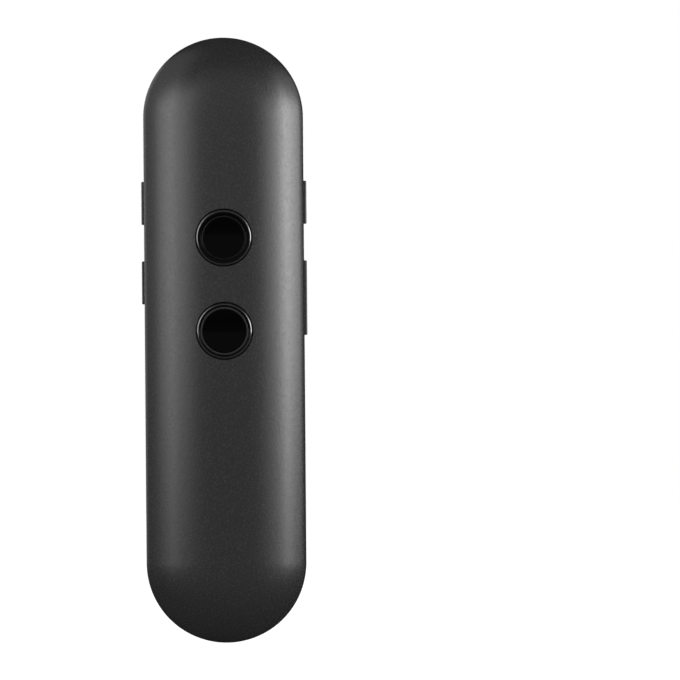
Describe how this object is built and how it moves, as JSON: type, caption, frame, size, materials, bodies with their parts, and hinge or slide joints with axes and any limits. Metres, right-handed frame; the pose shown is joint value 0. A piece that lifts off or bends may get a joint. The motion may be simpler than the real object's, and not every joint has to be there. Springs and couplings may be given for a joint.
{
  "type": "handheld translator",
  "caption": "Slim stadium-shaped handheld voice translator with round press buttons on its face, side keys, a rocker, a rear speaker grille and a micro USB socket.",
  "frame": {"origin": "middle of the body, where a hand grips it", "axes": "+Z along the body to the speaker end, the front face with the round buttons toward -Y, the back cover toward +Y, +X to the right seen from the front"},
  "size_m": [0.0414, 0.0122, 0.1514],
  "materials": {
    "case_grey": "satin dark grey lacquer with a fine metallic grain, on moulded plastic",
    "cover_grey": "the same satin lacquer, a touch lighter",
    "gloss_black": "polished piano black",
    "ring_smoke": "smoked light guide",
    "key_black": "fine matte black",
    "switch_black": "moulded switch body",
    "stem_ivory": "moulded switch stem",
    "pin_steel": "turned steel",
    "screw_steel": "zinc plated steel",
    "board_green": "solder resist on glass fibre",
    "chip_black": "moulded package",
    "can_steel": "tinned sheet steel",
    "antenna_ceramic": "glazed ceramic",
    "led_white": "clear lamp body",
    "cell_foil": "laminated foil pouch",
    "tape_white": "double-sided tissue tape",
    "wire_red": "soft insulated wire",
    "connector_white": "moulded connector",
    "flex_amber": "polyimide film over copper",
    "socket_steel": "stamped and nickel plated",
    "basket_black": "coated steel basket",
    "magnet_steel": "plated magnet pot",
    "coil_copper": "enamelled copper wire",
    "cone_black": "pressed paper cone",
    "foam_black": "closed-cell foam",
    "mesh_grey": "woven dust mesh",
    "mic_gold": "plated microphone can",
    "boot_rubber": "soft silicone"
  },
  "bodies": {
    "case": {"front_shell": "case_grey", "back_cover": "cover_grey", "upper_button_bezel": "gloss_black", "lower_button_bezel": "gloss_black", "upper_button_switch": "switch_black", "lower_button_switch": "switch_black", "rocker_pin": "pin_steel", "left_upper_switch": "switch_black", "right_upper_switch": "switch_black", "left_lower_switch": "switch_black", "rocker_top_switch": "switch_black", "rocker_bottom_switch": "switch_black", "main_board": "board_green", "board_screws": "screw_steel", "processor": "chip_black", "shield_can": "can_steel", "memory_chip": "chip_black", "radio_module": "can_steel", "audio_chip": "chip_black", "power_chip": "chip_black", "crystal": "can_steel", "chip_antenna": "antenna_ceramic", "button_leds": "led_white", "battery_cell": "cell_foil", "battery_guard_board": "board_green", "battery_tape": "tape_white", "battery_leads": "wire_red", "battery_plug": "connector_white", "battery_socket": "connector_white", "flex_cable": "flex_amber", "charge_board": "board_green", "charge_chip": "chip_black", "usb_socket": "socket_steel", "usb_tongue": "chip_black", "speaker_frame": "basket_black", "speaker_magnet": "magnet_steel", "voice_coil": "coil_copper", "speaker_cone": "cone_black", "speaker_gasket": "foam_black", "dust_mesh": "mesh_grey", "speaker_leads": "wire_red", "left_mic": "mic_gold", "right_mic": "mic_gold", "left_mic_boot": "boot_rubber", "right_mic_boot": "boot_rubber"},
    "upper_button": {"upper_button_cap": "gloss_black", "upper_light_ring": "ring_smoke", "upper_button_stem": "stem_ivory"},
    "lower_button": {"lower_button_cap": "gloss_black", "lower_light_ring": "ring_smoke", "lower_button_stem": "stem_ivory"},
    "left_upper": {"left_upper_key": "key_black", "left_upper_stem": "stem_ivory"},
    "right_upper": {"right_upper_key": "key_black", "right_upper_stem": "stem_ivory"},
    "left_lower": {"left_lower_key": "key_black", "left_lower_stem": "stem_ivory"},
    "rocker": {"right_rocker_key": "key_black", "rocker_top_stem": "stem_ivory", "rocker_bottom_stem": "stem_ivory"}
  },
  "joints": [
    {"name": "upper_button_press", "type": "slide", "parent": "case", "child": "upper_button", "axis": [0, 1, 0], "range_m": [0, 0.0004], "stiffness_N_per_m": 900, "springref_m": -0.0006},
    {"name": "lower_button_press", "type": "slide", "parent": "case", "child": "lower_button", "axis": [0, 1, 0], "range_m": [0, 0.0004], "stiffness_N_per_m": 900, "springref_m": -0.0006},
    {"name": "left_upper_press", "type": "slide", "parent": "case", "child": "left_upper", "axis": [1, 0, 0], "range_m": [0, 0.0003], "stiffness_N_per_m": 900, "springref_m": -0.0006},
    {"name": "right_upper_press", "type": "slide", "parent": "case", "child": "right_upper", "axis": [-1, 0, 0], "range_m": [0, 0.0003], "stiffness_N_per_m": 900, "springref_m": -0.0006},
    {"name": "left_lower_press", "type": "slide", "parent": "case", "child": "left_lower", "axis": [1, 0, 0], "range_m": [0, 0.0003], "stiffness_N_per_m": 900, "springref_m": -0.0006},
    {"name": "rocker_rock", "type": "hinge", "parent": "case", "child": "rocker", "pos_m": [0.0173, 0.0015, 0.0105], "axis": [0, 1, 0], "range_deg": [-1.7, 1.7], "stiffness_Nm_per_rad": 0.05}
  ]
}
